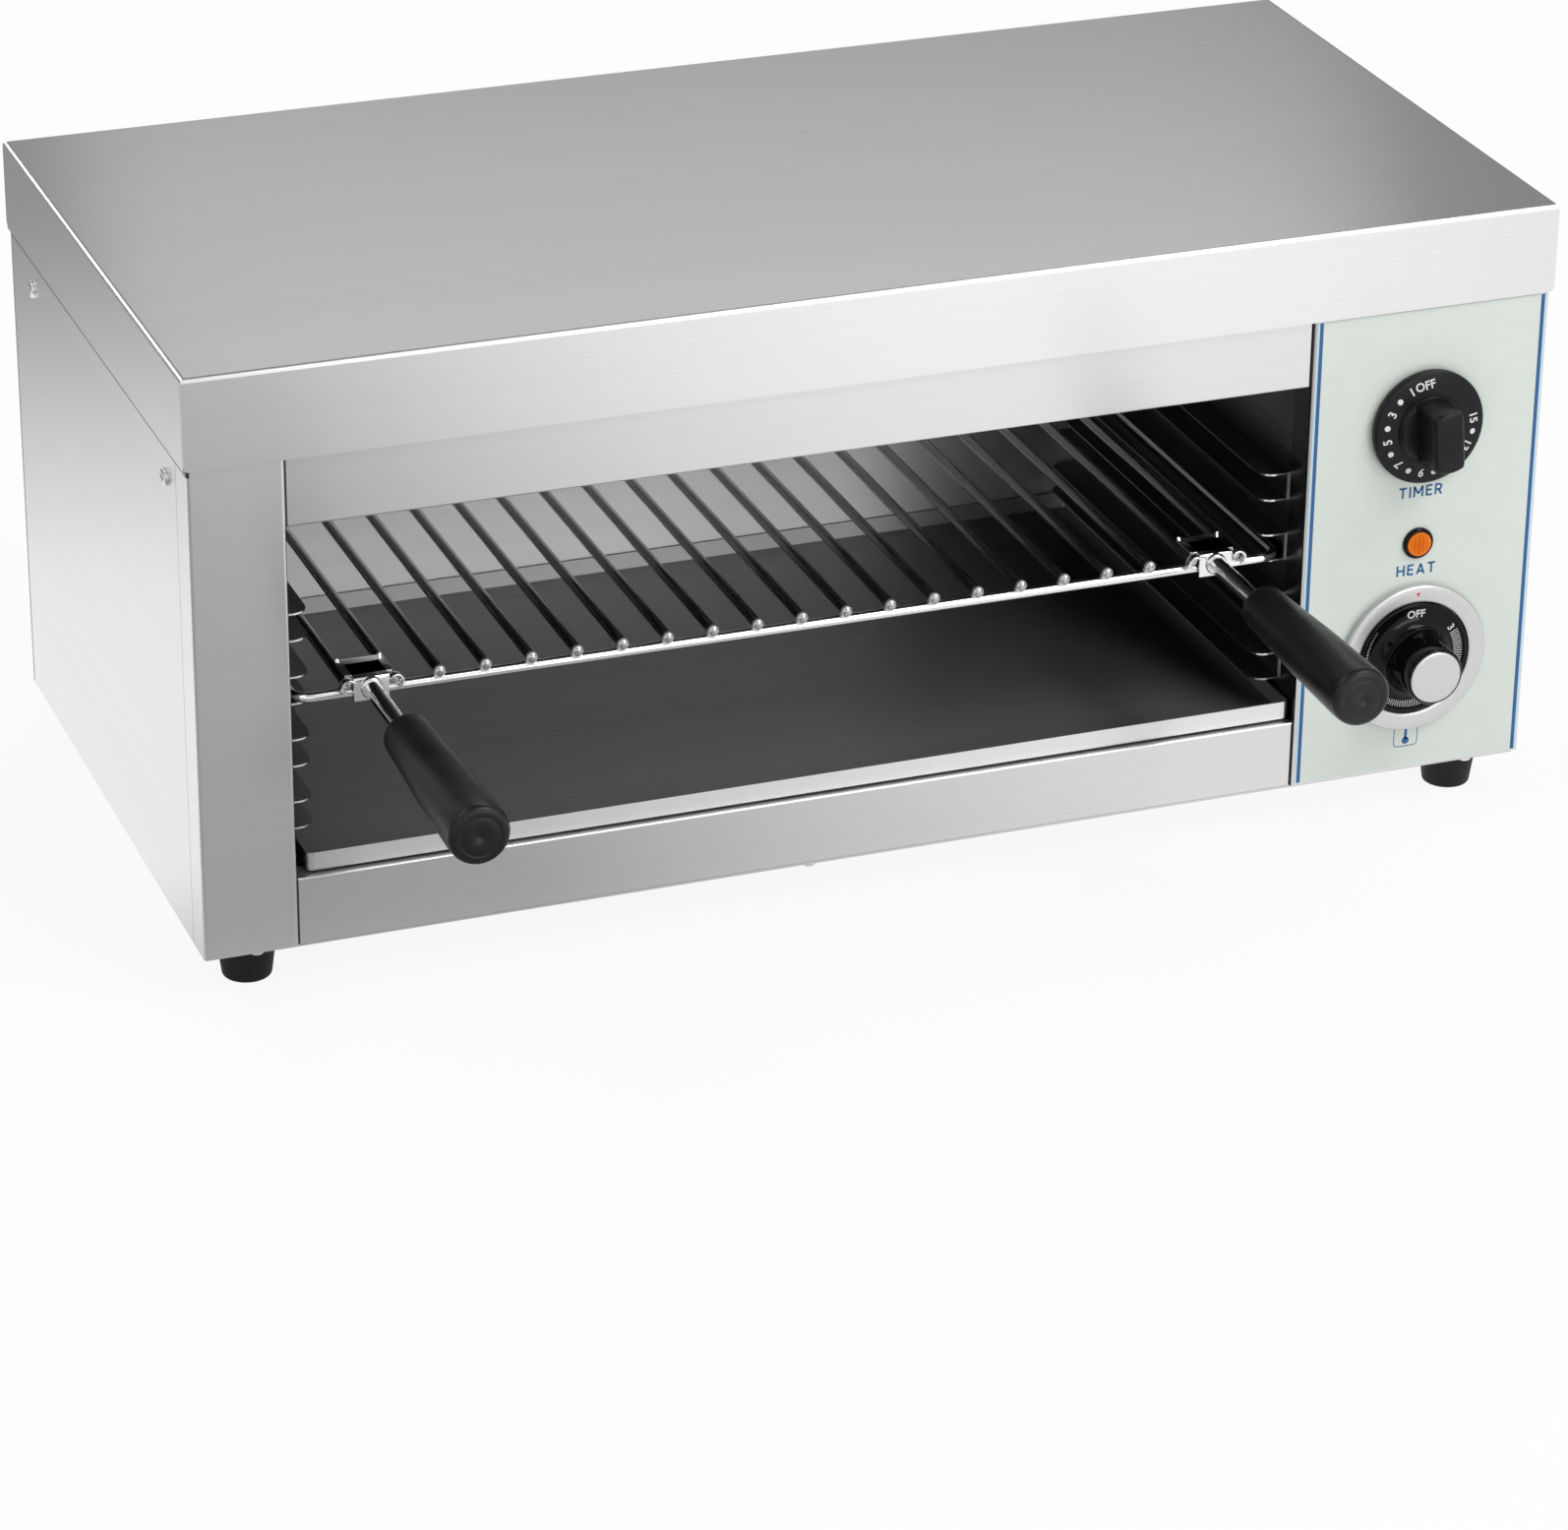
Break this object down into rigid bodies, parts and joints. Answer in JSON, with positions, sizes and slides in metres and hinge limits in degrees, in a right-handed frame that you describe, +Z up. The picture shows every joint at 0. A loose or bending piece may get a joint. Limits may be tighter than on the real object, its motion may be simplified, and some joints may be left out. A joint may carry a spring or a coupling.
{
  "type": "salamander grill",
  "caption": "Counter salamander grill: open-fronted steel case with overhead elements, a sliding wire rack with black handles, a crumb tray, a timer and a thermostat.",
  "frame": {"origin": "on the counter, midway between the four feet", "axes": "+X to the cook's right, +Y to the back, +Z up"},
  "size_m": [0.611, 0.4427, 0.28],
  "materials": {
    "brushed_sheet": "brushed stainless sheet",
    "control_sheet": "brushed stainless sheet",
    "panel_film": "pale glossy printed film with two blue stripes",
    "cavity_sheet": "stainless sheet",
    "insulation": "ceramic fibre",
    "element_sheath": "dark oxidised tube",
    "strap_steel": "plain steel",
    "ceramic": "glazed ceramic with a steel stud",
    "chrome_wire": "bright chrome plating",
    "black_grip": "black moulded plastic",
    "control_body": "moulded housing",
    "shaft_steel": "turned steel",
    "timer_black": "black moulded plastic with white figures",
    "satin_silver": "satin silver",
    "thermostat_black": "black glossy moulding with white figures",
    "copper_brass": "copper",
    "lamp_black": "black moulded rim",
    "lamp_amber": "fluted amber lens",
    "wire_cover": "silicone sleeve",
    "foot_rubber": "black rubber",
    "screw_steel": "zinc plated steel"
  },
  "bodies": {
    "casing": {"back_panel": "brushed_sheet", "back_screws": "screw_steel", "base_screws": "screw_steel", "bottom_panel": "brushed_sheet", "bulb_clips": "strap_steel", "cable_gland": "control_body", "capillary_tube": "copper_brass", "cavity_back_wall": "cavity_sheet", "control_panel": "control_sheet", "cover_tabs": "brushed_sheet", "element_collars": "strap_steel", "element_hangers": "strap_steel", "element_terminals": "ceramic", "foot_nuts": "screw_steel", "foot_screws": "screw_steel", "front_heating_element": "element_sheath", "heat_reflector": "cavity_sheet", "inner_wiring": "wire_cover", "insulation_slab": "insulation", "lamp_core": "control_body", "lamp_housing": "lamp_black", "lamp_lens": "lamp_amber", "left_inner_wall": "cavity_sheet", "left_runners": "cavity_sheet", "left_side_panel": "brushed_sheet", "lower_fascia": "brushed_sheet", "panel_overlay": "panel_film", "rear_heating_element": "element_sheath", "right_inner_wall": "cavity_sheet", "right_runners": "cavity_sheet", "right_side_panel": "brushed_sheet", "rubber_feet": "foot_rubber", "side_screws": "screw_steel", "terminal_block": "control_body", "thermostat_bezel": "satin_silver", "thermostat_body": "control_body", "thermostat_bulb": "copper_brass", "timer_body": "control_body", "top_cover": "brushed_sheet", "tray_rails": "cavity_sheet", "upper_fascia": "brushed_sheet"},
    "rack": {"rack_frame": "chrome_wire", "rack_cross_wires": "chrome_wire", "left_handle_bracket": "chrome_wire", "right_handle_bracket": "chrome_wire", "left_handle_stem": "chrome_wire", "right_handle_stem": "chrome_wire", "left_handle_grip": "black_grip", "right_handle_grip": "black_grip"},
    "crumb_tray": {"crumb_tray": "cavity_sheet"},
    "timer": {"timer_shaft": "shaft_steel", "timer_dial": "timer_black", "timer_knob": "timer_black"},
    "thermostat": {"thermostat_shaft": "shaft_steel", "thermostat_knob": "thermostat_black", "thermostat_cap": "satin_silver"}
  },
  "joints": [
    {"name": "rack_slide", "type": "slide", "parent": "casing", "child": "rack", "axis": [0, -1, 0], "range_m": [0, 0.25]},
    {"name": "crumb_tray_slide", "type": "slide", "parent": "casing", "child": "crumb_tray", "axis": [0, -1, 0], "range_m": [0, 0.26]},
    {"name": "timer_turn", "type": "hinge", "parent": "casing", "child": "timer", "pos_m": [0.247, -0.147, 0.186], "axis": [0, 1, 0], "range_deg": [0, 266]},
    {"name": "thermostat_turn", "type": "hinge", "parent": "casing", "child": "thermostat", "pos_m": [0.247, -0.147, 0.076], "axis": [0, 1, 0], "range_deg": [0, 300]}
  ]
}
